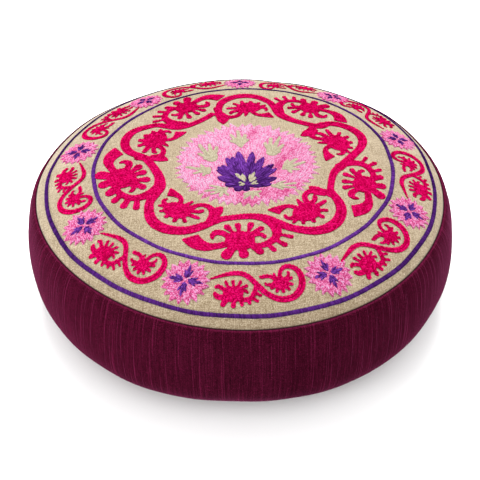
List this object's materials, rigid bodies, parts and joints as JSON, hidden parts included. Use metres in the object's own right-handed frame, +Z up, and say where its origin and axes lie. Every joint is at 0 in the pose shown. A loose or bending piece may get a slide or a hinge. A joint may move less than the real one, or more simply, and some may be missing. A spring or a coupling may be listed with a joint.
{
  "type": "round meditation cushion",
  "caption": "Round filled floor cushion with a domed embroidered linen top, a bulging plum side band and a flat sewn base.",
  "frame": {"origin": "middle of the base panel, on the surface that the cushion stands on", "axes": "+Z up through the crown; the picture looks along +Y, with +X to the right"},
  "size_m": [0.4417, 0.4384, 0.135],
  "materials": {
    "plum_cloth": "slubbed plum cotton with fine upright streaks",
    "linen": "natural beige linen, plain weave",
    "crimson_thread": "crimson embroidery thread, soft sheen",
    "pink_thread": "two tones of pink embroidery thread",
    "purple_thread": "purple embroidery thread, satin stitch",
    "leaf_thread": "pale green-beige embroidery thread"
  },
  "bodies": {
    "root": {"side_band_filled": "plum_cloth", "top_panel": "linen", "base_panel": "plum_cloth"}
  },
  "joints": []
}
